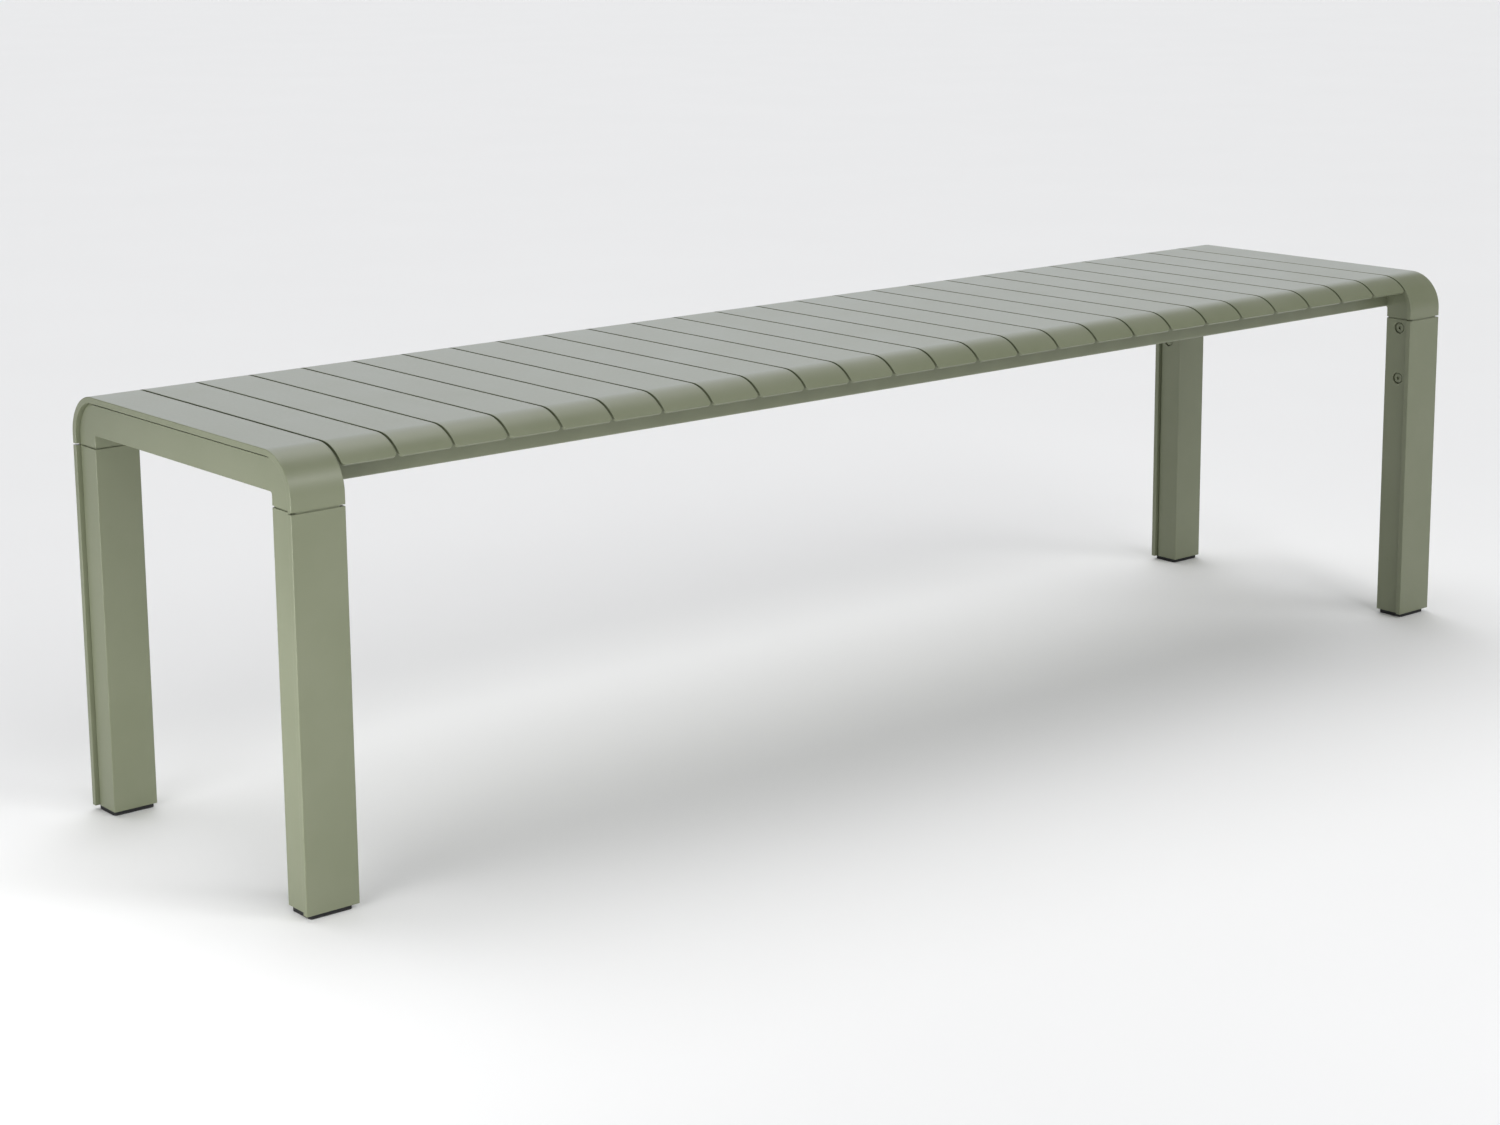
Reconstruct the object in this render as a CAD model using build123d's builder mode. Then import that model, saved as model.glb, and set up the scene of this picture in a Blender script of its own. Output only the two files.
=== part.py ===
from build123d import *

import os

# Backless garden bench in welded and bolted aluminium.
#
# Two end frames, each a hollow beam between two cast corners, carry three long rails.
# Curved slats lie across the rails, from the front of the seat to its back.
# A stub on each cast corner plugs into the top of a leg, where two bolts hold it.
# A plastic foot closes the bottom of each leg.
#
# Origin: on the floor, below the middle of the seat.
# +X runs along the bench, +Y to its back and +Z up. All sizes are in millimetres.

# ---------------------------------------------------------------- driving dimensions
LENGTH = 1750
DEPTH = 445
HEIGHT = 460

# The section shared by legs, cast corners and end beams: a box with a wide outer band.
BAND_WIDTH = 60
BAND_THICKNESS = 6.7
BAND_OVERHANG = 4.5
SECTION_DEPTH = 42
SIDE_WALL = 5
FACE_WALL = 3
GROOVE_WIDTH = 2.6
GROOVE_DEPTH = 2
EDGE_RADIUS = 0.8
CAVITY_RADIUS = 2

# The bend of the cast corners, which the slat ends follow.
CORNER_RADIUS = 45
CORNER_REACH = 75

# Leg joint: a shadow gap, a stub in the leg and two bolts from the inner side.
SEAM_HEIGHT = 404
SEAM_GAP = 1.8
SEAM_INSET = 1.5
END_CHAMFER = 0.3
STUB_LENGTH = 115
STUB_CLEARANCE = 0.3
STUB_WALL = 4
STUB_BOLT_WALL = 10
STUB_LEAD_IN = 2
DRILL_OVERRUN = 1
BOLT_DROP = 12.5
BOLT_SPACING = 67.5
BOLT_RADIUS = 3
BOLT_LENGTH = 16
BOLT_HEAD_RADIUS = 6
BOLT_HEAD_THICKNESS = 2
BOLT_HEAD_EDGE = 0.4
HEX_SOCKET_RADIUS = 2.3
HEX_SOCKET_DEPTH = 2.6
RECESS_RADIUS = 7.6
RECESS_DEPTH = 3.2
CLEARANCE_HOLE_RADIUS = 3.3
TAPPED_HOLE_RADIUS = 3.02

# Feet.
FOOT_HEIGHT = 5
FOOT_WIDTH = 48
FOOT_CORNER_RADIUS = 4
FOOT_EDGE_RADIUS = 1
PLUG_HEIGHT = 20
PLUG_WALL = 2.5

# Seat.
SLAT_COUNT = 25
SLAT_WIDTH = 62
SLAT_THICKNESS = 3.5
SLAT_WRAP = 54
SLAT_CORNER_RADIUS = 4
RAIL_DEPTH = 25
RAIL_WALL = 2
COPE_CLEARANCE = 0.5

# ---------------------------------------------------------------- worked-out places
BODY_WIDTH = BAND_WIDTH - 2 * BAND_OVERHANG
CAVITY_WIDTH = BODY_WIDTH - 2 * SIDE_WALL
CAVITY_DEPTH = SECTION_DEPTH - 2 * FACE_WALL

FRAME_X = (LENGTH - BAND_WIDTH) / 2
INNER_FACE_X = FRAME_X - BODY_WIDTH / 2
FRONT_Y = -DEPTH / 2
LEG_Y = FRONT_Y + SECTION_DEPTH / 2
LEG_INNER_Y = FRONT_Y + SECTION_DEPTH
BEND_Y = FRONT_Y + CORNER_RADIUS
BEND_Z = HEIGHT - CORNER_RADIUS
SPLICE_Y = FRONT_Y + CORNER_REACH
BEAM_Z = HEIGHT - SECTION_DEPTH / 2
LEG_TOP_Z = SEAM_HEIGHT - SEAM_GAP / 2
CORNER_BOTTOM_Z = SEAM_HEIGHT + SEAM_GAP / 2

STUB_WIDTH = CAVITY_WIDTH - 2 * STUB_CLEARANCE
STUB_DEPTH = CAVITY_DEPTH - 2 * STUB_CLEARANCE
STUB_BOTTOM_Z = SEAM_HEIGHT - STUB_LENGTH
CORE_WIDTH = STUB_WIDTH - STUB_WALL - STUB_BOLT_WALL
CORE_DEPTH = STUB_DEPTH - 2 * STUB_WALL
CORE_X = FRAME_X + (STUB_BOLT_WALL - STUB_WALL) / 2
CORE_OVERRUN = CORNER_RADIUS / 3
CORE_TOP_Z = BEND_Z + CORE_OVERRUN
CORE_FRONT_Y = BEND_Y - CORE_OVERRUN
BOLT_HEIGHTS = [SEAM_HEIGHT - BOLT_DROP, SEAM_HEIGHT - BOLT_DROP - BOLT_SPACING]

SEAT_LENGTH = LENGTH - 2 * BAND_WIDTH
SLAT_GAP = (SEAT_LENGTH - SLAT_COUNT * SLAT_WIDTH) / (SLAT_COUNT + 1)
SLAT_PITCH = SLAT_WIDTH + SLAT_GAP
RAIL_HEIGHT = SECTION_DEPTH - SLAT_THICKNESS
RAIL_EDGE_RADIUS = CORNER_RADIUS - SECTION_DEPTH
RAIL_Z = HEIGHT - SECTION_DEPTH + RAIL_HEIGHT / 2
COPE_Z = HEIGHT - BAND_THICKNESS - COPE_CLEARANCE
COPE_X = LENGTH / 2 - BAND_WIDTH - COPE_CLEARANCE

# The four corners of the bench: name, and whether it is a mirror image to the left and to the rear.
CORNERS = [
    ("front_right", False, False),
    ("front_left", True, False),
    ("rear_right", False, True),
    ("rear_left", True, True),
]


def save(part, label):
    """Label a finished piece and write it as its own STEP file."""
    part.label = label
    export_step(part, f"parts/{label}.step")


def save_at_corners(part, label):
    """Write a piece drawn at the front right corner, and its mirror images, to all four corners."""
    for corner_name, to_left, to_rear in CORNERS:
        with BuildPart() as copy:
            add(part)
            if to_left:
                mirror(about=Plane.YZ, mode=Mode.REPLACE)
            if to_rear:
                mirror(about=Plane.XZ, mode=Mode.REPLACE)
        save(copy.part, f"{label}_{corner_name}")


# ---------------------------------------------------------------- shared section
# Drawn with the outer face of the band on the X axis and the depth of the section along +Y.
# A shadow groove on each side sets the body apart from the band.
with BuildSketch() as solid_section:
    with Locations((0, BAND_THICKNESS / 2)):
        Rectangle(BAND_WIDTH, BAND_THICKNESS)
    with Locations((0, SECTION_DEPTH / 2)):
        Rectangle(BODY_WIDTH, SECTION_DEPTH)
    groove_x = (BODY_WIDTH - GROOVE_DEPTH) / 2
    groove_y = BAND_THICKNESS + GROOVE_WIDTH / 2
    with Locations((-groove_x, groove_y), (groove_x, groove_y)):
        Rectangle(GROOVE_DEPTH, GROOVE_WIDTH, mode=Mode.SUBTRACT)
    band_sides = solid_section.vertices().group_by(Axis.X)
    body_back = solid_section.vertices().group_by(Axis.Y)[-1]
    fillet(band_sides[0] + band_sides[-1] + body_back, radius=EDGE_RADIUS)

with BuildSketch() as hollow_section:
    add(solid_section.sketch)
    with Locations((0, SECTION_DEPTH / 2)):
        RectangleRounded(CAVITY_WIDTH, CAVITY_DEPTH, CAVITY_RADIUS, mode=Mode.SUBTRACT)


# ---------------------------------------------------------------- legs
def build_leg():
    """Front right leg: a hollow extrusion with two recessed bolt holes in its inner side."""
    with BuildPart() as leg:
        with BuildSketch(Plane((FRAME_X, FRONT_Y, FOOT_HEIGHT), x_dir=(1, 0, 0), z_dir=(0, 0, 1))):
            add(hollow_section.sketch)
        extrude(amount=LEG_TOP_Z - FOOT_HEIGHT)
        leg_ends = leg.faces().filter_by(Axis.Z)
        outer_rims = [end.outer_wire().edges() for end in leg_ends]
        chamfer(outer_rims, length=END_CHAMFER)
        for height in BOLT_HEIGHTS:
            recess_plane = Plane((INNER_FACE_X, LEG_Y, height), x_dir=(0, 1, 0), z_dir=(-1, 0, 0))
            with Locations(recess_plane):
                CounterBoreHole(
                    radius=CLEARANCE_HOLE_RADIUS,
                    counter_bore_radius=RECESS_RADIUS,
                    counter_bore_depth=RECESS_DEPTH,
                    depth=SIDE_WALL + DRILL_OVERRUN,
                )
    return leg.part


# ---------------------------------------------------------------- cast corners
def build_corner():
    """Front right corner casting: the bend, its shoulder on the leg, and the stub inside the leg."""
    with BuildPart() as corner:
        # The short drop from the bend to the seam.
        with BuildSketch(Plane((FRAME_X, FRONT_Y, CORNER_BOTTOM_Z), x_dir=(1, 0, 0), z_dir=(0, 0, 1))):
            add(solid_section.sketch)
        extrude(amount=BEND_Z - CORNER_BOTTOM_Z)
        rim = corner.faces().sort_by(Axis.Z)[0].outer_wire().edges()
        chamfer(rim, length=END_CHAMFER)

        # The bend, about an axis along the bench.
        with BuildSketch(Plane((FRAME_X, FRONT_Y, BEND_Z), x_dir=(1, 0, 0), z_dir=(0, 0, 1))):
            add(solid_section.sketch)
        revolve(axis=Axis((FRAME_X, BEND_Y, BEND_Z), (-1, 0, 0)), revolution_arc=90)

        # The arm that is welded to the end beam.
        with BuildSketch(Plane((FRAME_X, BEND_Y, HEIGHT), x_dir=(1, 0, 0), z_dir=(0, 1, 0))):
            add(solid_section.sketch)
        extrude(amount=SPLICE_Y - BEND_Y)

        # Shoulder that stands on the leg and keeps the shadow gap open.
        with BuildSketch(Plane((FRAME_X, LEG_Y, LEG_TOP_Z))):
            Rectangle(BODY_WIDTH - 2 * SEAM_INSET, SECTION_DEPTH - 2 * SEAM_INSET)
        extrude(amount=SEAM_GAP)

        # Stub inside the leg, tapered at its tip.
        with BuildSketch(Plane((FRAME_X, LEG_Y, STUB_BOTTOM_Z))):
            RectangleRounded(STUB_WIDTH, STUB_DEPTH, CAVITY_RADIUS)
        extrude(amount=LEG_TOP_Z - STUB_BOTTOM_Z)
        tip = corner.faces().sort_by(Axis.Z)[0].outer_wire().edges()
        chamfer(tip, length=STUB_LEAD_IN)

        # Cores: one up through the stub into the bend, one along the arm.
        with BuildSketch(Plane((CORE_X, LEG_Y, STUB_BOTTOM_Z))):
            RectangleRounded(CORE_WIDTH, CORE_DEPTH, CAVITY_RADIUS)
        extrude(amount=CORE_TOP_Z - STUB_BOTTOM_Z, mode=Mode.SUBTRACT)
        with BuildSketch(Plane((CORE_X, SPLICE_Y, BEAM_Z), x_dir=(1, 0, 0), z_dir=(0, -1, 0))):
            RectangleRounded(CORE_WIDTH, CORE_DEPTH, CAVITY_RADIUS)
        extrude(amount=SPLICE_Y - CORE_FRONT_Y, mode=Mode.SUBTRACT)

        # Tapped holes for the leg bolts.
        for height in BOLT_HEIGHTS:
            hole_plane = Plane((FRAME_X - STUB_WIDTH / 2, LEG_Y, height), x_dir=(0, 1, 0), z_dir=(-1, 0, 0))
            with Locations(hole_plane):
                Hole(radius=TAPPED_HOLE_RADIUS, depth=STUB_BOLT_WALL + DRILL_OVERRUN)
    return corner.part


# ---------------------------------------------------------------- leg bolts
def build_leg_bolts():
    """The two flat-headed socket bolts of the front right leg."""
    head_x = INNER_FACE_X + RECESS_DEPTH
    with BuildPart() as bolts:
        for height in BOLT_HEIGHTS:
            seat = Plane((head_x, LEG_Y, height), x_dir=(0, 1, 0), z_dir=(-1, 0, 0))
            with BuildSketch(seat):
                Circle(BOLT_HEAD_RADIUS)
            extrude(amount=BOLT_HEAD_THICKNESS)
            rim = bolts.edges(Select.LAST).filter_by(GeomType.CIRCLE).sort_by(Axis.X)[0]
            fillet(rim, radius=BOLT_HEAD_EDGE)
            with BuildSketch(seat):
                Circle(BOLT_RADIUS)
            extrude(amount=-BOLT_LENGTH)
            with BuildSketch(seat.offset(BOLT_HEAD_THICKNESS)):
                RegularPolygon(radius=HEX_SOCKET_RADIUS, side_count=6)
            extrude(amount=-HEX_SOCKET_DEPTH, mode=Mode.SUBTRACT)
    return bolts.part


# ---------------------------------------------------------------- feet
def build_foot():
    """Front right foot: a flange under the leg and a hollow plug inside it."""
    with BuildPart() as foot:
        with BuildSketch(Plane((FRAME_X, LEG_Y, 0))):
            RectangleRounded(FOOT_WIDTH, CAVITY_DEPTH, FOOT_CORNER_RADIUS)
        extrude(amount=FOOT_HEIGHT)
        fillet(foot.faces().sort_by(Axis.Z)[0].edges(), radius=FOOT_EDGE_RADIUS)
        with BuildSketch(Plane((FRAME_X, LEG_Y, FOOT_HEIGHT))):
            RectangleRounded(STUB_WIDTH, STUB_DEPTH, CAVITY_RADIUS)
            RectangleRounded(
                STUB_WIDTH - 2 * PLUG_WALL,
                STUB_DEPTH - 2 * PLUG_WALL,
                CAVITY_RADIUS / 2,
                mode=Mode.SUBTRACT,
            )
        extrude(amount=PLUG_HEIGHT)
    return foot.part


# ---------------------------------------------------------------- end beams
def build_end_beam(frame_x):
    """Hollow beam across the end of the bench, between its two cast corners."""
    with BuildPart() as beam:
        with BuildSketch(Plane((frame_x, SPLICE_Y, HEIGHT), x_dir=(1, 0, 0), z_dir=(0, 1, 0))):
            add(hollow_section.sketch)
        extrude(amount=-2 * SPLICE_Y)
    return beam.part


# ---------------------------------------------------------------- rails
def build_rail(rail_y):
    """Rectangular tube along the bench, coped at both ends to pass under the bands."""
    with BuildPart() as rail:
        with BuildSketch(Plane((-INNER_FACE_X, rail_y, RAIL_Z), x_dir=(0, 1, 0), z_dir=(1, 0, 0))):
            RectangleRounded(RAIL_DEPTH, RAIL_HEIGHT, RAIL_EDGE_RADIUS)
            Rectangle(
                RAIL_DEPTH - 2 * RAIL_WALL,
                RAIL_HEIGHT - 2 * RAIL_WALL,
                mode=Mode.SUBTRACT,
            )
        extrude(amount=2 * INNER_FACE_X)
        cope_length = INNER_FACE_X - COPE_X
        with BuildSketch(Plane.XY.offset(COPE_Z)):
            with Locations((COPE_X + cope_length / 2, rail_y), (-COPE_X - cope_length / 2, rail_y)):
                Rectangle(cope_length, RAIL_DEPTH)
        extrude(amount=HEIGHT - COPE_Z, mode=Mode.SUBTRACT)
    return rail.part


# ---------------------------------------------------------------- slats
def build_slat(slat_x):
    """Flat slat whose two ends curl down around the bend of the seat."""
    with BuildPart() as slat:
        with BuildSketch(Plane.YZ.offset(slat_x - SLAT_WIDTH / 2)):
            with BuildLine():
                front_curl = CenterArc((BEND_Y, BEND_Z), CORNER_RADIUS, 90, SLAT_WRAP)
                rear_curl = CenterArc((-BEND_Y, BEND_Z), CORNER_RADIUS, 90, -SLAT_WRAP)
                Line(front_curl @ 0, rear_curl @ 0)
                inner_radius = CORNER_RADIUS - SLAT_THICKNESS
                front_inner = CenterArc((BEND_Y, BEND_Z), inner_radius, 90, SLAT_WRAP)
                rear_inner = CenterArc((-BEND_Y, BEND_Z), inner_radius, 90, -SLAT_WRAP)
                Line(front_inner @ 0, rear_inner @ 0)
                Line(front_curl @ 1, front_inner @ 1)
                Line(rear_curl @ 1, rear_inner @ 1)
            make_face()
        extrude(amount=SLAT_WIDTH)
        tips = slat.faces().sort_by(Axis.Z)[:2]
        tip_corners = [tip.edges().filter_by(Axis.X, reverse=True) for tip in tips]
        fillet(tip_corners, radius=SLAT_CORNER_RADIUS)
        side_edges = [side.edges() for side in slat.faces().filter_by(Axis.X)]
        fillet(side_edges, radius=EDGE_RADIUS)
    return slat.part


# ---------------------------------------------------------------- write every piece
os.makedirs("parts", exist_ok=True)

save_at_corners(build_leg(), "leg")
save_at_corners(build_corner(), "corner")
save_at_corners(build_leg_bolts(), "leg_bolts")
save_at_corners(build_foot(), "foot")

save(build_end_beam(-FRAME_X), "end_beam_left")
save(build_end_beam(FRAME_X), "end_beam_right")

save(build_rail(LEG_INNER_Y + RAIL_DEPTH / 2), "front_rail")
save(build_rail(0), "centre_rail")
save(build_rail(-LEG_INNER_Y - RAIL_DEPTH / 2), "rear_rail")

first_slat_x = -(SLAT_COUNT - 1) * SLAT_PITCH / 2
for slat_index in range(SLAT_COUNT):
    save(build_slat(first_slat_x + slat_index * SLAT_PITCH), f"slat_{slat_index + 1:02d}")
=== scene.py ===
import logging
import math
from collections.abc import Callable
from dataclasses import dataclass, field
from enum import Enum

import bpy
from mathutils import Matrix, Vector


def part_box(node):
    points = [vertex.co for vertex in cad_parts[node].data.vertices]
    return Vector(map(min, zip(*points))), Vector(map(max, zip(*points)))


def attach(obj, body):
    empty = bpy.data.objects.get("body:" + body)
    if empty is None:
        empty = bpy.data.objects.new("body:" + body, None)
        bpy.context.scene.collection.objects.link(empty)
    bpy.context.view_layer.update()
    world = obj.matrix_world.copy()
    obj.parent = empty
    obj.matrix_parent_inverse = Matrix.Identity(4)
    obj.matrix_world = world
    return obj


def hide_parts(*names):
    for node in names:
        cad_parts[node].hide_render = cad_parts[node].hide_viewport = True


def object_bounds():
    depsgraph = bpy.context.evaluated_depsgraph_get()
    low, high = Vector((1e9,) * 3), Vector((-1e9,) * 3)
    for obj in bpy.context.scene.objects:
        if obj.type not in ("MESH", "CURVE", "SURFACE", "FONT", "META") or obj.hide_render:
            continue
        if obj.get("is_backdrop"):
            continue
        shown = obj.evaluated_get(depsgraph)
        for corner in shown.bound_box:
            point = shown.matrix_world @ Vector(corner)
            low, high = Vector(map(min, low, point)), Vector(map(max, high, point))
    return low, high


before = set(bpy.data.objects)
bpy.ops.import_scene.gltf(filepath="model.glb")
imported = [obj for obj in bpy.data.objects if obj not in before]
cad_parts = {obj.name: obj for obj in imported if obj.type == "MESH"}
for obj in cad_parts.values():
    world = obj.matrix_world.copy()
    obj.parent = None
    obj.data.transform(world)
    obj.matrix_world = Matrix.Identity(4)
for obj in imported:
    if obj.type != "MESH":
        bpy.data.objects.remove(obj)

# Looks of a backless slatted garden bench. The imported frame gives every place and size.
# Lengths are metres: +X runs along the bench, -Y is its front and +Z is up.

LOG = logging.getLogger("bench")
MM = 0.001
ROOT = "root"
NEAR = MM / 10
MERGE_DISTANCE = MM / 100
SHARP_ANGLE = math.radians(40)
RAIL_NODES = ("front_rail", "centre_rail", "rear_rail")
CORNER_NAMES = ("front_left", "front_right", "rear_left", "rear_right")

Point = tuple[float, float, float]
Colour = tuple[float, float, float]


class Slot(Enum):
    """The record's material slots."""

    COAT = "powder_coat"
    BOLT = "coated_bolt"
    PLASTIC = "black_plastic"


class Pick(Enum):
    """What an edit-mode selection is made of."""

    VERTICES = "VERT"
    EDGES = "EDGE"
    FACES = "FACE"


# ---------------------------------------------------------------------------
# Shader maths
# ---------------------------------------------------------------------------


class Signal:
    """One output socket, with Python arithmetic that adds Math nodes."""

    def __init__(self, graph: "Graph", socket: bpy.types.NodeSocket) -> None:
        """Keep the socket and the graph that it belongs to."""
        self.graph = graph
        self.socket = socket

    def _math(self, operation: str, first: "Signal | float", second: "Signal | float") -> "Signal":
        """Add one Math node.

        Args:
            operation: The Math node's operation.
            first: Its first value.
            second: Its second value.

        Returns:
            The node's result.
        """
        return self.graph.add("ShaderNodeMath", {"operation": operation}, {0: first, 1: second})

    def __add__(self, other: "Signal | float") -> "Signal":
        """Return self + other."""
        return self._math("ADD", self, other)

    __radd__ = __add__

    def __sub__(self, other: "Signal | float") -> "Signal":
        """Return self - other."""
        return self._math("SUBTRACT", self, other)

    def __rsub__(self, other: float) -> "Signal":
        """Return other - self."""
        return self._math("SUBTRACT", other, self)

    def __mul__(self, other: "Signal | float") -> "Signal":
        """Return self * other."""
        return self._math("MULTIPLY", self, other)

    def swing(self, width: float) -> "Signal":
        """Turn a signal from 0 to 1 into one of this width about 0."""
        return (self - 0.5) * width

    def smoothstep(self, low: float, high: float) -> "Signal":
        """Rise smoothly from 0 to 1.

        Args:
            low: The value at which the result leaves 0.
            high: The value at which it reaches 1.

        Returns:
            The smoothed signal.
        """
        settings = {"interpolation_type": "SMOOTHSTEP"}
        return self.graph.add(
            "ShaderNodeMapRange",
            settings,
            {"Value": self, "From Min": low, "From Max": high},
        )


class Graph:
    """The node tree of one material that ends in a Principled shader."""

    def __init__(self, name: str) -> None:
        """Make the material and clear its tree.

        Args:
            name: The material's name.
        """
        self.material = bpy.data.materials.new(name)
        self.material.use_nodes = True
        self.tree = self.material.node_tree
        self.tree.nodes.clear()

    def node(
        self,
        kind: str,
        settings: dict[str, object] | None = None,
        inputs: dict[str | int, object] | None = None,
    ) -> bpy.types.Node:
        """Add any node.

        Args:
            kind: The node's type.
            settings: Properties, which are set first.
            inputs: Values or Signals by socket name or number.

        Returns:
            The node.
        """
        node = self.tree.nodes.new(kind)
        for key, value in (settings or {}).items():
            setattr(node, key, value)
        for key, value in (inputs or {}).items():
            if isinstance(value, Signal):
                self.tree.links.new(value.socket, node.inputs[key])
            else:
                node.inputs[key].default_value = value
        return node

    def add(
        self,
        kind: str,
        settings: dict[str, object] | None = None,
        inputs: dict[str | int, object] | None = None,
        output: str | int = 0,
    ) -> Signal:
        """Add a node and take one of its outputs, as node() does."""
        return Signal(self, self.node(kind, settings, inputs).outputs[output])

    def place(self) -> Signal:
        """Return the point on the piece, in metres."""
        return self.add("ShaderNodeTexCoord", output="Object")

    def noise(self, grain: float, detail: float = 2.0, roughness: float = 0.5) -> Signal:
        """Return a noise from 0 to 1.

        Args:
            grain: The size of its largest blotches, in metres.
            detail: How many finer octaves it has.
            roughness: How strong they are.

        Returns:
            The noise.
        """
        return self.add(
            "ShaderNodeTexNoise",
            {"noise_dimensions": "3D"},
            {"Vector": self.place(), "Scale": 1.0 / grain, "Detail": detail, "Roughness": roughness},
        )

    def facing_up(self) -> Signal:
        """Return the upward part of the surface's normal, from -1 to 1."""
        normal = self.add("ShaderNodeNewGeometry", output="Normal")
        return self.add("ShaderNodeSeparateXYZ", None, {"Vector": normal}, "Z")

    def mix(self, factor: Signal, first: Colour | Signal, second: Colour | Signal) -> Signal:
        """Blend two colours.

        Args:
            factor: 0 gives the first and 1 the second.
            first: A linear colour or a Signal.
            second: A linear colour or a Signal.

        Returns:
            The blended colour.
        """
        ends = [value if isinstance(value, Signal) else (*value, 1.0) for value in (first, second)]
        return self.add(
            "ShaderNodeMix",
            {"data_type": "RGBA", "clamp_factor": True},
            {"Factor": factor, 6: ends[0], 7: ends[1]},
            2,
        )

    def bump(self, height: Signal, depth: float, strength: float) -> Signal:
        """Turn a height from 0 to 1 into a normal.

        Args:
            height: The height signal.
            depth: How deep 1 is, in metres.
            strength: The share of the effect that shows.

        Returns:
            The normal.
        """
        return self.add(
            "ShaderNodeBump",
            None,
            {"Height": height, "Distance": depth, "Strength": strength},
        )

    def finish(self, varied: dict[str, Signal], fixed: dict[str, float]) -> bpy.types.Material:
        """End the tree in a Principled shader.

        Args:
            varied: What changes over the surface.
            fixed: What is the same all over it.

        Returns:
            The finished material.
        """
        shader = self.add("ShaderNodeBsdfPrincipled", None, {**varied, **fixed})
        self.node("ShaderNodeOutputMaterial", None, {"Surface": shader})
        return self.material


# ---------------------------------------------------------------------------
# Finishes
# ---------------------------------------------------------------------------


@dataclass(frozen=True)
class PowderCoat:
    """Satin powder coat with a fine orange peel, laid over bare metal, and a painted sheen: a paler
    neutral grey mixed into the faces that look up.
    """

    name: str = "satin_powder_coat"
    colour: Colour = (0.184, 0.202, 0.127)
    pale: Colour = (0.196, 0.213, 0.138)
    # Painted sheen: this pale neutral grey, at this share and patchiness, is mixed into the faces that
    # look up in place of the light's sheen on the tops.
    painted_sheen: Colour = (0.280, 0.280, 0.255)
    painted_sheen_share: float = 0.14
    painted_sheen_swing: float = 0.6
    peel_size: float = 1.6 * MM
    peel_depth: float = 0.035 * MM
    speck_size: float = 4 * MM
    sag_size: float = 14 * MM
    sag_depth: float = 0.05 * MM
    cloud_size: float = 90 * MM
    cloud_edges: tuple[float, float] = (0.3, 0.7)
    # Faces that look up more steeply than this get the painted sheen.
    sheen_facing_from: float = 0.55
    roughness: float = 0.37
    cloud_swing: float = 0.10
    speck_swing: float = 0.08
    bump_share: float = 0.6

    def make(self) -> bpy.types.Material:
        """Build the material.

        Returns:
            The material.
        """
        graph = Graph(self.name)
        peel = graph.noise(self.peel_size, detail=1.5)
        sag = graph.noise(self.sag_size, detail=1.0)
        cloud = graph.noise(self.cloud_size, detail=3.0, roughness=0.6)
        speck = graph.noise(self.speck_size, detail=2.0, roughness=0.7)
        film = graph.mix(cloud.smoothstep(*self.cloud_edges), self.colour, self.pale)
        # Painted sheen on the faces that look up, made patchy by the cloud noise, and mixed into the
        # coat's colour below.
        patchy_sheen = cloud * self.painted_sheen_swing + (1.0 - self.painted_sheen_swing / 2)
        painted_sheen_mask = graph.facing_up().smoothstep(self.sheen_facing_from, 1.0) * patchy_sheen * self.painted_sheen_share
        colour = graph.mix(painted_sheen_mask, film, self.painted_sheen)
        height = peel + sag * (self.sag_depth / self.peel_depth)
        rough = self.roughness + cloud.swing(self.cloud_swing) + speck.swing(self.speck_swing)
        return graph.finish(
            {
                "Base Color": colour,
                "Roughness": rough,
                "Normal": graph.bump(height, self.peel_depth, self.bump_share),
            },
            {"IOR": 1.5, "Specular IOR Level": 0.5},
        )


@dataclass(frozen=True)
class MouldedPlastic:
    """Black moulded plastic with a spark-eroded grain and a scuffed rim near the floor."""

    name: str = "moulded_plastic"
    colour: Colour = (0.012, 0.012, 0.013)
    scuffed: Colour = (0.060, 0.058, 0.055)
    grain_size: float = 0.7 * MM
    grain_depth: float = 0.05 * MM
    scuff_size: float = 7 * MM
    scuff_height: float = 3 * MM
    scuff_edges: tuple[float, float] = (0.45, 0.75)
    roughness: float = 0.62
    grain_swing: float = 0.16
    worn_swing: float = 0.12
    bump_share: float = 0.7

    def make(self) -> bpy.types.Material:
        """Build the material.

        Returns:
            The material.
        """
        graph = Graph(self.name)
        grain = graph.noise(self.grain_size, detail=3.0, roughness=0.65)
        blotch = graph.noise(self.scuff_size, detail=4.0, roughness=0.7)
        height = graph.add("ShaderNodeSeparateXYZ", None, {"Vector": graph.place()}, "Z")
        near_floor = 1.0 - height.smoothstep(0.0, self.scuff_height)
        worn = near_floor * blotch.smoothstep(*self.scuff_edges)
        rough = self.roughness + grain.swing(self.grain_swing) + worn * self.worn_swing
        return graph.finish(
            {
                "Base Color": graph.mix(worn, self.colour, self.scuffed),
                "Roughness": rough,
                "Normal": graph.bump(grain, self.grain_depth, self.bump_share),
            },
            {"IOR": 1.48, "Specular IOR Level": 0.4},
        )


@dataclass(frozen=True)
class StudioFloor:
    """Pale matt studio floor with faint mottling."""

    name: str = "studio_floor"
    colour: Colour = (0.90, 0.90, 0.90)
    shade: Colour = (0.88, 0.88, 0.88)
    mottle_size: float = 0.5

    def make(self) -> bpy.types.Material:
        """Build the material.

        Returns:
            The material.
        """
        graph = Graph(self.name)
        mottle = graph.noise(self.mottle_size, detail=2.0)
        return graph.finish(
            {"Base Color": graph.mix(mottle, self.colour, self.shade)},
            {"Roughness": 0.9, "Specular IOR Level": 0.2},
        )


# ---------------------------------------------------------------------------
# Modelling tools
# ---------------------------------------------------------------------------


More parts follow.
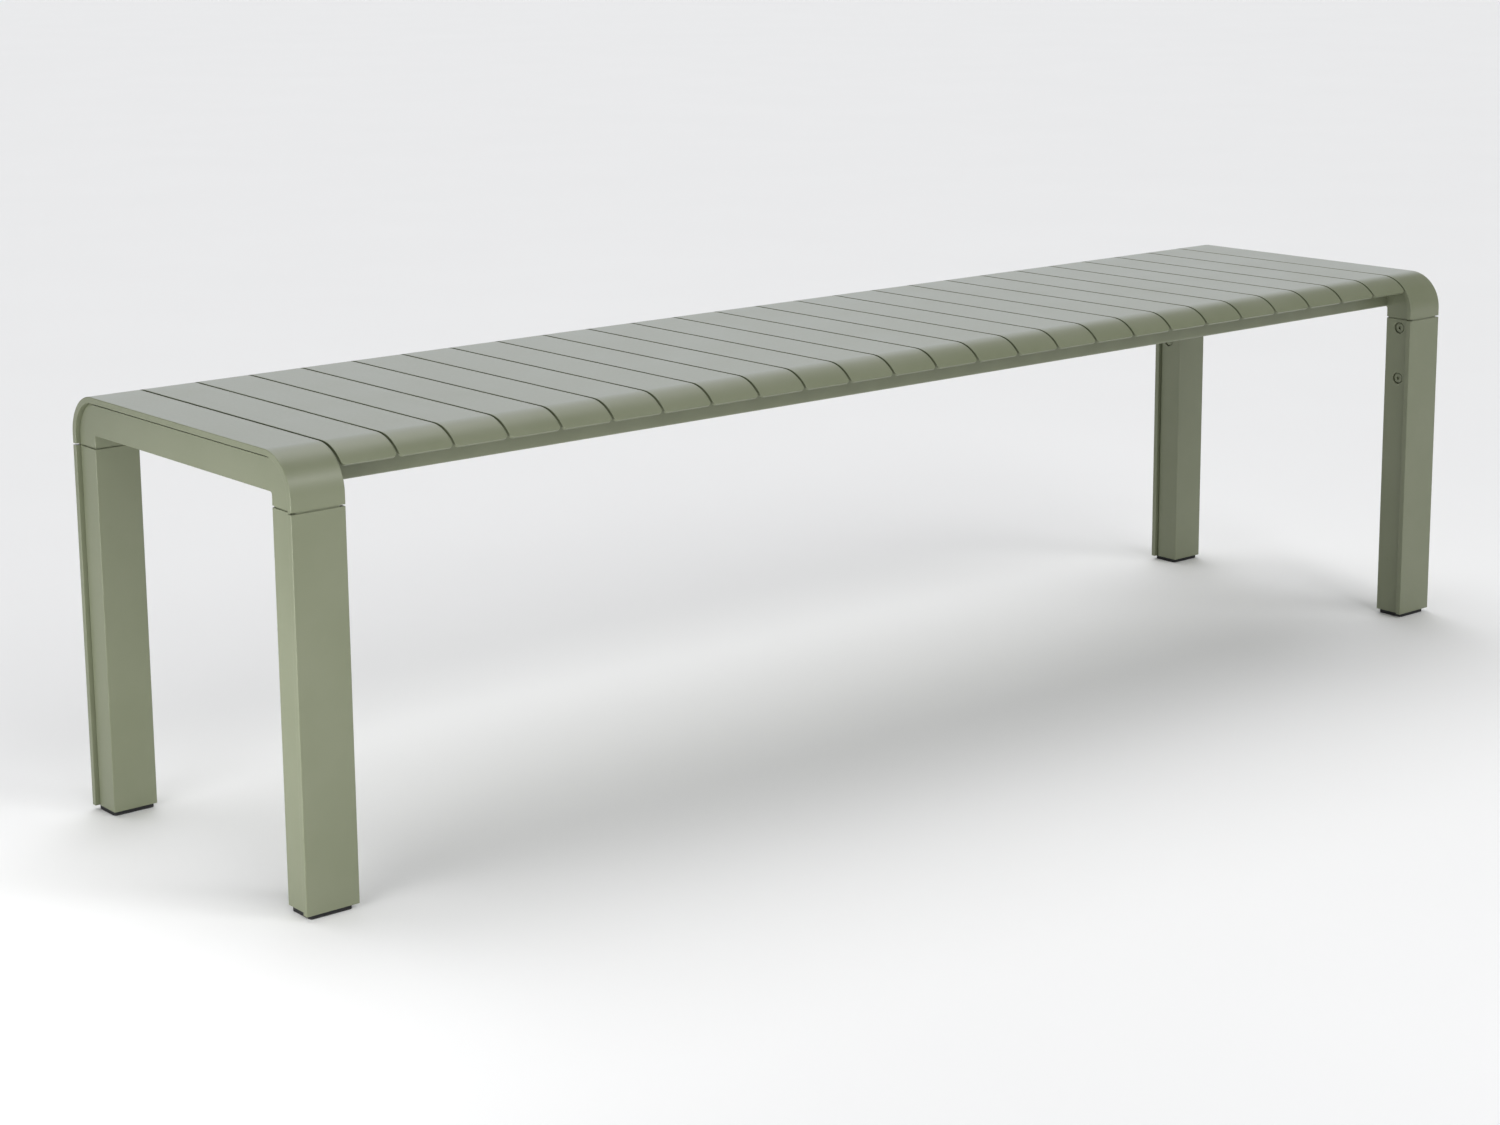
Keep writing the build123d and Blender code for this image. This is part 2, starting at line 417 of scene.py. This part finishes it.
def deselect_all() -> None:
    """Leave object mode with nothing selected and nothing active."""
    if bpy.context.mode != "OBJECT":
        bpy.ops.object.mode_set(mode="OBJECT")
    bpy.ops.object.select_all(action="DESELECT")
    bpy.context.view_layer.objects.active = None


def hold(piece: bpy.types.Object) -> None:
    """Make a piece the only one selected, and active.

    Args:
        piece: The piece.
    """
    deselect_all()
    piece.select_set(True)
    bpy.context.view_layer.objects.active = piece


def settle(piece: bpy.types.Object) -> None:
    """Put a piece's place, turn and scale into its mesh."""
    hold(piece)
    bpy.ops.object.transform_apply(location=True, rotation=True, scale=True)


def pick(piece: bpy.types.Object, kind: Pick, test: Callable[[Vector], bool]) -> int:
    """Select parts of the held piece's mesh in edit mode by their middle.

    Args:
        piece: The piece, which is held.
        kind: Vertices, edges or faces.
        test: Says whether a part with this middle is selected.

    Returns:
        How many parts are selected.
    """
    if bpy.context.mode != "EDIT_MESH":
        bpy.ops.object.mode_set(mode="EDIT")
    bpy.ops.mesh.select_mode(type=kind.value)
    bpy.ops.mesh.select_all(action="DESELECT")
    bpy.ops.object.mode_set(mode="OBJECT")
    mesh = piece.data
    points = [vertex.co.copy() for vertex in mesh.vertices]
    if kind is Pick.VERTICES:
        parts = [(vertex, vertex.co) for vertex in mesh.vertices]
    elif kind is Pick.EDGES:
        parts = [(edge, (points[edge.vertices[0]] + points[edge.vertices[1]]) / 2) for edge in mesh.edges]
    else:
        parts = [(face, face.center) for face in mesh.polygons]
    chosen = [part for part, middle in parts if test(middle)]
    for part in chosen:
        part.select = True
    bpy.ops.object.mode_set(mode="EDIT")
    return len(chosen)


def use_modifier(piece: bpy.types.Object, kind: str, **settings: object) -> None:
    """Add a modifier to a piece and apply it.

    Args:
        piece: The piece.
        kind: The modifier's type.
        settings: Its properties.
    """
    hold(piece)
    bpy.ops.object.modifier_add(type=kind)
    modifier = piece.modifiers[-1]
    for key, value in settings.items():
        setattr(modifier, key, value)
    bpy.ops.object.modifier_apply(modifier=modifier.name)


def ease_edges(piece: bpy.types.Object, radius: float, segments: int = 3) -> None:
    """Round a piece's sharp edges and shade it smooth with its flats kept flat.

    Args:
        piece: The piece.
        radius: The edges' radius.
        segments: How many faces go round an edge.
    """
    use_modifier(
        piece,
        "BEVEL",
        width=radius,
        segments=segments,
        limit_method="ANGLE",
        angle_limit=SHARP_ANGLE,
        miter_outer="MITER_ARC",
    )
    hold(piece)
    bpy.ops.object.shade_smooth_by_angle(angle=SHARP_ANGLE)
    use_modifier(piece, "WEIGHTED_NORMAL", keep_sharp=True)


def copy_of(piece: bpy.types.Object, name: str, shift: Vector) -> bpy.types.Object:
    """Copy a piece with its own mesh.

    Args:
        piece: The piece.
        name: The copy's name.
        shift: How far the copy is moved.

    Returns:
        The copy.
    """
    hold(piece)
    bpy.ops.object.duplicate(linked=False)
    copy = bpy.context.view_layer.objects.active
    copy.name = name
    copy.data.name = name
    copy.location = copy.location + shift
    settle(copy)
    return copy


def merge_doubles() -> None:
    """Merge the vertices of the mesh being edited that lie on one another."""
    bpy.ops.mesh.select_all(action="SELECT")
    bpy.ops.mesh.remove_doubles(threshold=MERGE_DISTANCE)


def face_out() -> None:
    """Turn every face of the mesh being edited outward and leave edit mode."""
    bpy.ops.mesh.select_all(action="SELECT")
    bpy.ops.mesh.normals_make_consistent(inside=False)
    bpy.ops.object.mode_set(mode="OBJECT")


def face_up(sheet: bpy.types.Object) -> None:
    """Turn an open sheet over if its largest face looks down.

    Args:
        sheet: The sheet.
    """
    if max(sheet.data.polygons, key=lambda face: face.area).normal.z > 0:
        return
    hold(sheet)
    bpy.ops.object.mode_set(mode="EDIT")
    bpy.ops.mesh.select_all(action="SELECT")
    bpy.ops.mesh.flip_normals()
    bpy.ops.object.mode_set(mode="OBJECT")


def dress(piece: bpy.types.Object, name: str, material: bpy.types.Material) -> None:
    """Give a new piece its name, finish and slot, and let it ride on the bench.

    Args:
        piece: The piece.
        name: Its name.
        material: Its finish.
    """
    piece.name = name
    piece.data.name = name
    piece.data.materials.clear()
    piece.data.materials.append(material)
    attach(piece, ROOT)


# ---------------------------------------------------------------------------
# Seat
# ---------------------------------------------------------------------------


@dataclass
class Slats:
    """The bent flat bars of the seat."""

    material: bpy.types.Material
    bend_radius: float = 45 * MM
    wrap: float = math.radians(54)
    thickness: float = 3.5 * MM
    edge_radius: float = 0.4 * MM
    tip_radius: float = 4 * MM
    curl_steps: int = 8
    tip_steps: int = 5

    def _curl(self, piece: bpy.types.Object, bend_y: float, top: float) -> None:
        """Bend one end of the flat bar down round its former.

        Args:
            piece: The bar, which is held.
            bend_y: The middle of the bend, on the side of the end.
            top: The height of the bar's top.
        """
        pick(piece, Pick.EDGES, lambda middle: abs(middle.y - bend_y) < NEAR)
        bpy.ops.mesh.spin(
            steps=self.curl_steps,
            angle=self.wrap,
            center=(0, bend_y, top - self.bend_radius),
            axis=(math.copysign(1, bend_y), 0, 0),
        )

    def _first(self, node: str) -> bpy.types.Object:
        """Model one slat in the place of a CAD node.

        Args:
            node: The node.

        Returns:
            The slat.
        """
        low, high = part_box(node)
        bend_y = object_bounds()[1].y - self.bend_radius
        deselect_all()
        bpy.ops.mesh.primitive_plane_add(size=1, location=((low.x + high.x) / 2, 0, high.z))
        slat = bpy.context.object
        slat.scale = (high.x - low.x, 2 * bend_y, 1)
        settle(slat)
        self._curl(slat, -bend_y, high.z)
        self._curl(slat, bend_y, high.z)
        tip = bend_y + self.bend_radius * math.sin(self.wrap)
        pick(slat, Pick.VERTICES, lambda place: abs(abs(place.y) - tip) < NEAR)
        bpy.ops.mesh.bevel(offset=self.tip_radius, segments=self.tip_steps, affect="VERTICES")
        merge_doubles()
        face_out()
        face_up(slat)
        use_modifier(slat, "SOLIDIFY", thickness=self.thickness, offset=-1, use_even_offset=True)
        ease_edges(slat, self.edge_radius)
        return slat

    def build(self) -> int:
        """Model the slats.

        Returns:
            How many there are.
        """
        nodes = sorted(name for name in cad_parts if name.startswith("slat_"))
        first = self._first(nodes[0])
        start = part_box(nodes[0])[0].x
        slats = [first]
        for node in nodes[1:]:
            slats.append(copy_of(first, "slat", Vector((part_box(node)[0].x - start, 0, 0))))
        for node, slat in zip(nodes, slats):
            dress(slat, f"seat_{node}", self.material)
            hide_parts(node)
        return len(slats)


@dataclass
class Welds:
    """The weld beads under the seat: slats to rails, and rails to end beams."""

    material: bpy.types.Material
    radius: float = 2.6 * MM
    ripple: float = 1.7 * MM
    swell: float = 0.14
    stitch: float = 26 * MM
    sides: int = 10
    end_gap: float = 2 * MM
    slat_count: int = 25
    start_share: float = 0.35
    shoulder_share: float = 0.8
    smooth_angle: float = math.radians(60)

    def _bead(self, start: Vector, end: Vector) -> bpy.types.Object:
        """Lay one rippled bead.

        Args:
            start: Where it begins.
            end: Where it ends.

        Returns:
            The bead.
        """
        run = end - start
        steps = 2 * max(2, round(run.length / self.ripple / 2))
        step = run.length / steps / 2
        deselect_all()
        bpy.ops.mesh.primitive_circle_add(
            vertices=self.sides, radius=self.radius * self.start_share, fill_type="NGON"
        )
        bead = bpy.context.object
        bpy.ops.object.mode_set(mode="EDIT")
        bpy.ops.mesh.select_all(action="SELECT")
        size = self.start_share
        middle = Vector((0, 0, 0))
        ripples = [1.0, 1.0 - self.swell] * (steps - 1)
        for ring in [self.shoulder_share, *ripples, self.shoulder_share, self.start_share]:
            bpy.ops.mesh.extrude_region_move(TRANSFORM_OT_translate={"value": (0, 0, step)})
            middle.z += step
            bpy.ops.transform.resize(value=(ring / size, ring / size, 1), center_override=middle)
            size = ring
        face_out()
        bpy.ops.object.shade_smooth_by_angle(angle=self.smooth_angle)
        turn = Vector((0, 0, 1)).rotation_difference(run.normalized())
        bead.matrix_world = Matrix.Translation(start) @ turn.to_matrix().to_4x4()
        settle(bead)
        return bead

    def _stitches(self, side_y: float, z: float) -> bpy.types.Object:
        """Lay one stitch under each slat along one side of a rail.

        Args:
            side_y: The rail's side.
            z: The height of the slats' undersides.

        Returns:
            The row of stitches as one piece.
        """
        low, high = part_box("slat_01")
        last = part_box(f"slat_{self.slat_count:02d}")[0].x
        pitch = (last - low.x) / (self.slat_count - 1)
        middle = (low.x + high.x) / 2
        row = self._bead(
            Vector((middle - self.stitch / 2, side_y, z)),
            Vector((middle + self.stitch / 2, side_y, z)),
        )
        use_modifier(
            row,
            "ARRAY",
            count=self.slat_count,
            use_relative_offset=False,
            use_constant_offset=True,
            constant_offset_displace=(pitch, 0, 0),
        )
        return row

    def _rail_ends(self, rail: str, side_y: float) -> bpy.types.Object:
        """Lay a bead up each end of one side of a rail.

        Args:
            rail: The rail's node.
            side_y: The rail's side.

        Returns:
            Both beads as one piece.
        """
        low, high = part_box(rail)
        beads = []
        for end_x in (low.x, high.x):
            beads.append(
                self._bead(
                    Vector((end_x, side_y, low.z + self.end_gap)),
                    Vector((end_x, side_y, high.z - self.end_gap)),
                )
            )
        hold(beads[0])
        beads[1].select_set(True)
        bpy.ops.object.join()
        return beads[0]

    def build(self) -> int:
        """Lay every bead.

        Returns:
            How many pieces there are.
        """
        count = 0
        for rail in RAIL_NODES:
            low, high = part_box(rail)
            sides = {"front": low.y, "rear": high.y}
            if rail == "front_rail":
                del sides["front"]
            if rail == "rear_rail":
                del sides["rear"]
            for side, side_y in sides.items():
                stitches = self._stitches(side_y, high.z)
                dress(stitches, f"{rail}_{side}_stitch_welds", self.material)
                ends = self._rail_ends(rail, side_y)
                dress(ends, f"{rail}_{side}_end_welds", self.material)
                count += 2
        return count


# ---------------------------------------------------------------------------
# Legs, feet and end frames
# ---------------------------------------------------------------------------


@dataclass
class Feet:
    """The black plastic glides under the legs."""

    material: bpy.types.Material
    pad_height: float = 5 * MM
    corner_radius: float = 4 * MM
    corner_steps: int = 5
    rim: float = 3.5 * MM
    recess: float = 1.4 * MM
    tread_pitch: float = 4.2 * MM
    tread_share: float = 0.5
    tread_height: float = 1.12 * MM
    plug_width: float = 40.4 * MM
    plug_depth: float = 35.4 * MM
    plug_wall: float = 2.5 * MM
    plug_floor: float = 2 * MM
    edge_radius: float = 0.6 * MM

    def _tread(self, foot: bpy.types.Object, low: Vector, high: Vector) -> None:
        """Sink the underside inside its rim and leave raised bars across it.

        Args:
            foot: The foot, which is held.
            low: Its lowest corner.
            high: Its highest corner.
        """
        pick(foot, Pick.FACES, lambda middle: middle.z < low.z + NEAR)
        bpy.ops.mesh.inset(thickness=self.rim)
        bpy.ops.transform.translate(value=(0, 0, self.recess))
        roof = low.z + self.recess
        count = int((high.x - low.x - 2 * self.rim) / self.tread_pitch)
        start = (low.x + high.x) / 2 - count * self.tread_pitch / 2
        for index in range(count):
            edge = start + index * self.tread_pitch
            for cut in (edge, edge + self.tread_pitch * self.tread_share):
                pick(foot, Pick.FACES, lambda middle: abs(middle.z - roof) < NEAR)
                bpy.ops.mesh.bisect(plane_co=(cut, 0, 0), plane_no=(1, 0, 0))

        def is_bar(middle: Vector) -> bool:
            """Tell the bars of the sunk floor from the gaps between them.

            Args:
                middle: A face's middle.

            Returns:
                Whether the face is a bar.
            """
            phase = (middle.x - start) / self.tread_pitch
            inside = 0 < phase < count and phase % 1 < self.tread_share
            return inside and abs(middle.z - roof) < NEAR

        pick(foot, Pick.FACES, is_bar)
        bpy.ops.mesh.extrude_region_move(TRANSFORM_OT_translate={"value": (0, 0, -self.tread_height)})

    def _draw_in(self, middle: Vector, share_x: float, share_y: float) -> None:
        """Draw a copy of the picked face in towards its middle, which leaves a flat step round it.

        Args:
            middle: The face's middle.
            share_x: The copy's width as a share of the face's.
            share_y: The copy's depth as a share of the face's.
        """
        bpy.ops.mesh.extrude_region_move()
        bpy.ops.transform.resize(value=(share_x, share_y, 1), center_override=middle)

    def _plug(self, foot: bpy.types.Object, pad: Vector, middle: Vector, rise: float) -> None:
        """Raise the hollow plug that is pressed into the leg.

        Args:
            foot: The foot, which is held.
            pad: The pad's size.
            middle: The middle of the pad's top.
            rise: The height of the plug above the pad.
        """
        wall = 2 * self.plug_wall
        pick(foot, Pick.FACES, lambda place: abs(place.z - middle.z) < NEAR)
        self._draw_in(middle, self.plug_width / pad.x, self.plug_depth / pad.y)
        bpy.ops.mesh.extrude_region_move(TRANSFORM_OT_translate={"value": (0, 0, rise)})
        self._draw_in(middle, 1 - wall / self.plug_width, 1 - wall / self.plug_depth)
        depth = rise - self.plug_floor
        bpy.ops.mesh.extrude_region_move(TRANSFORM_OT_translate={"value": (0, 0, -depth)})

    def _first(self, node: str) -> bpy.types.Object:
        """Model one foot in the place of a CAD node.

        Args:
            node: The node.

        Returns:
            The foot.
        """
        low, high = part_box(node)
        pad_top = low.z + self.pad_height
        middle = (low + high) / 2
        deselect_all()
        bpy.ops.mesh.primitive_cube_add(size=1, location=(middle.x, middle.y, (low.z + pad_top) / 2))
        foot = bpy.context.object
        foot.scale = (high.x - low.x, high.y - low.y, self.pad_height)
        settle(foot)
        half = (low.z + pad_top) / 2
        pick(foot, Pick.EDGES, lambda place: abs(place.z - half) < NEAR)
        bpy.ops.mesh.bevel(offset=self.corner_radius, segments=self.corner_steps)
        self._plug(foot, high - low, Vector((middle.x, middle.y, pad_top)), high.z - pad_top)
        self._tread(foot, low, high)
        merge_doubles()
        face_out()
        ease_edges(foot, self.edge_radius, segments=2)
        return foot

    def build(self) -> int:
        """Model the feet.

        Returns:
            How many there are.
        """
        nodes = [f"foot_{corner}" for corner in CORNER_NAMES]
        first = self._first(nodes[0])
        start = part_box(nodes[0])[0]
        feet = [first]
        for node in nodes[1:]:
            feet.append(copy_of(first, "foot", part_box(node)[0] - start))
        for node, foot in zip(nodes, feet):
            dress(foot, node.replace("foot", "glide"), self.material)
            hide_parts(node)
        return len(feet)


@dataclass
class Metalwork:
    """The parts that keep their CAD shape: legs, bolts, cast corners, end beams and rails."""

    finishes: dict[Slot, bpy.types.Material]
    slots: dict[str, Slot] = field(
        default_factory=lambda: {
            "leg_bolts_": Slot.BOLT,
            "leg_": Slot.COAT,
            "corner_": Slot.COAT,
            "end_beam_": Slot.COAT,
            "front_rail": Slot.COAT,
            "centre_rail": Slot.COAT,
            "rear_rail": Slot.COAT,
        }
    )

    def dress(self) -> int:
        """Give every kept node its finish.

        Returns:
            How many nodes there are.
        """
        count = 0
        for name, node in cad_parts.items():
            slot = next((slot for start, slot in self.slots.items() if name.startswith(start)), None)
            if slot is None:
                continue
            for holder in node.material_slots:
                holder.material = self.finishes[slot]
            count += 1
        return count


# ---------------------------------------------------------------------------
# Studio
# ---------------------------------------------------------------------------


@dataclass(frozen=True)
class SoftBox:
    """One rectangular studio light near the bench, hidden from the camera itself."""

    name: str
    place: Point
    aim: Point
    width: float
    height: float
    power: float
    spread: float = math.radians(180)
    colour: Colour = (1.0, 1.0, 1.0)

    def build(self) -> None:
        """Add the light."""
        data = bpy.data.lights.new(self.name, "AREA")
        data.shape = "RECTANGLE"
        data.size = self.width
        data.size_y = self.height
        data.energy = self.power
        data.spread = self.spread
        data.color = self.colour
        light = bpy.data.objects.new(self.name, data)
        light.location = self.place
        light.rotation_euler = (Vector(self.aim) - Vector(self.place)).to_track_quat("-Z", "Y").to_euler()
        light.visible_camera = False
        bpy.context.scene.collection.objects.link(light)


@dataclass(frozen=True)
class SoftSky:
    """One broad, distant light: a bright patch of the studio's walls and ceiling."""

    name: str
    towards: Point
    level: float
    spread: float
    colour: Colour = (1.0, 1.0, 1.0)

    def build(self) -> None:
        """Add the light. A level of 1 shows a white sheet that faces it as white."""
        data = bpy.data.lights.new(self.name, "SUN")
        data.energy = self.level * math.pi
        data.angle = self.spread
        data.color = self.colour
        light = bpy.data.objects.new(self.name, data)
        light.rotation_euler = Vector(self.towards).to_track_quat("Z", "Y").to_euler()
        bpy.context.scene.collection.objects.link(light)


@dataclass
class Studio:
    """The floor, the lights and the camera."""

    floor_side: float = 60.0
    sky: Colour = (0.96, 0.98, 1.0)
    backdrop: Colour = (0.80, 0.80, 0.80)
    sky_strength: float = 0.10
    lens: float = 67.7
    rise: float = -0.10
    azimuth: float = math.radians(-39.723)
    elevation: float = math.radians(10.985)
    roll: float = math.radians(-0.459)
    distance: float = 3.2867
    target: Point = (-0.1294, 0.0, 0.3723)
    lights: tuple[SoftBox | SoftSky, ...] = (
        SoftBox(
            "left_panel",
            place=(-1.65, -0.50, 0.45),
            aim=(-0.85, -0.1, 0.20),
            width=0.8,
            height=0.4,
            power=1.5,
        ),
        SoftBox(
            "left_low_panel",
            place=(-1.7, -0.35, 0.22),
            aim=(-0.85, -0.1, 0.20),
            width=0.8,
            height=0.25,
            power=1.85,
            spread=math.radians(80),
        ),
        SoftBox(
            "front_softbox",
            place=(0.25, -1.75, 1.55),
            aim=(-0.85, -0.2, 0.43),
            width=0.5,
            height=0.5,
            power=5.2,
        ),
        SoftSky("ceiling", towards=(0.10, 0.35, 0.90), level=0.58, spread=math.radians(60)),
        SoftSky("front_wall", towards=(0.10, -0.80, 0.50), level=0.44, spread=math.radians(60)),
        SoftSky(
            "back_wall",
            towards=(0.60, 0.76, 0.26),
            level=0.22,
            spread=math.radians(50),
            colour=(0.88, 0.90, 1.0),
        ),
    )

    def _floor(self) -> None:
        """Lay the floor."""
        deselect_all()
        bpy.ops.mesh.primitive_plane_add(size=self.floor_side, location=(0, 0, 0))
        floor = bpy.context.object
        floor.name = "studio_floor"
        floor.data.materials.append(StudioFloor().make())
        floor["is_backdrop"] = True

    def _sky(self) -> None:
        """Surround the bench with even light and a pale backdrop behind it."""
        world = bpy.data.worlds.new("studio")
        world.use_nodes = True
        tree = world.node_tree
        light = tree.nodes["Background"]
        light.inputs["Color"].default_value = (*self.sky, 1.0)
        light.inputs["Strength"].default_value = self.sky_strength
        backdrop = tree.nodes.new("ShaderNodeBackground")
        backdrop.inputs["Color"].default_value = (*self.backdrop, 1.0)
        path = tree.nodes.new("ShaderNodeLightPath")
        either = tree.nodes.new("ShaderNodeMixShader")
        tree.links.new(path.outputs["Is Camera Ray"], either.inputs["Fac"])
        tree.links.new(light.outputs["Background"], either.inputs[1])
        tree.links.new(backdrop.outputs["Background"], either.inputs[2])
        tree.links.new(either.outputs["Shader"], tree.nodes["World Output"].inputs["Surface"])
        bpy.context.scene.world = world

    def _camera(self) -> None:
        """Add the camera and make it the scene's."""
        data = bpy.data.cameras.new("camera")
        data.lens = self.lens
        data.shift_y = self.rise
        camera = bpy.data.objects.new("camera", data)
        level = math.cos(self.elevation)
        back = Vector(
            (
                level * math.sin(self.azimuth),
                -level * math.cos(self.azimuth),
                math.sin(self.elevation),
            )
        )
        turn = back.to_track_quat("Z", "Y").to_matrix().to_4x4()
        roll = Matrix.Rotation(self.roll, 4, "Z")
        place = Vector(self.target) + back * self.distance
        camera.matrix_world = Matrix.Translation(place) @ turn @ roll
        bpy.context.scene.collection.objects.link(camera)
        bpy.context.scene.camera = camera

    def build(self) -> None:
        """Set the studio up."""
        self._floor()
        self._sky()
        for light in self.lights:
            light.build()
        self._camera()
        bpy.context.scene.view_settings.view_transform = "Standard"


def main() -> None:
    """Build the bench's looks and its studio."""
    logging.basicConfig(level=logging.INFO, format="%(message)s")
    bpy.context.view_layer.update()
    coat = PowderCoat().make()
    bolt = PowderCoat(name="coated_bolt_heads", peel_depth=0.02 * MM, roughness=0.38).make()
    plastic = MouldedPlastic().make()
    LOG.info("metalwork: %d", Metalwork({Slot.COAT: coat, Slot.BOLT: bolt}).dress())
    LOG.info("slats: %d", Slats(coat).build())
    LOG.info("weld pieces: %d", Welds(coat).build())
    LOG.info("feet: %d", Feet(plastic).build())
    Studio().build()


if __name__ == "__main__":
    main()
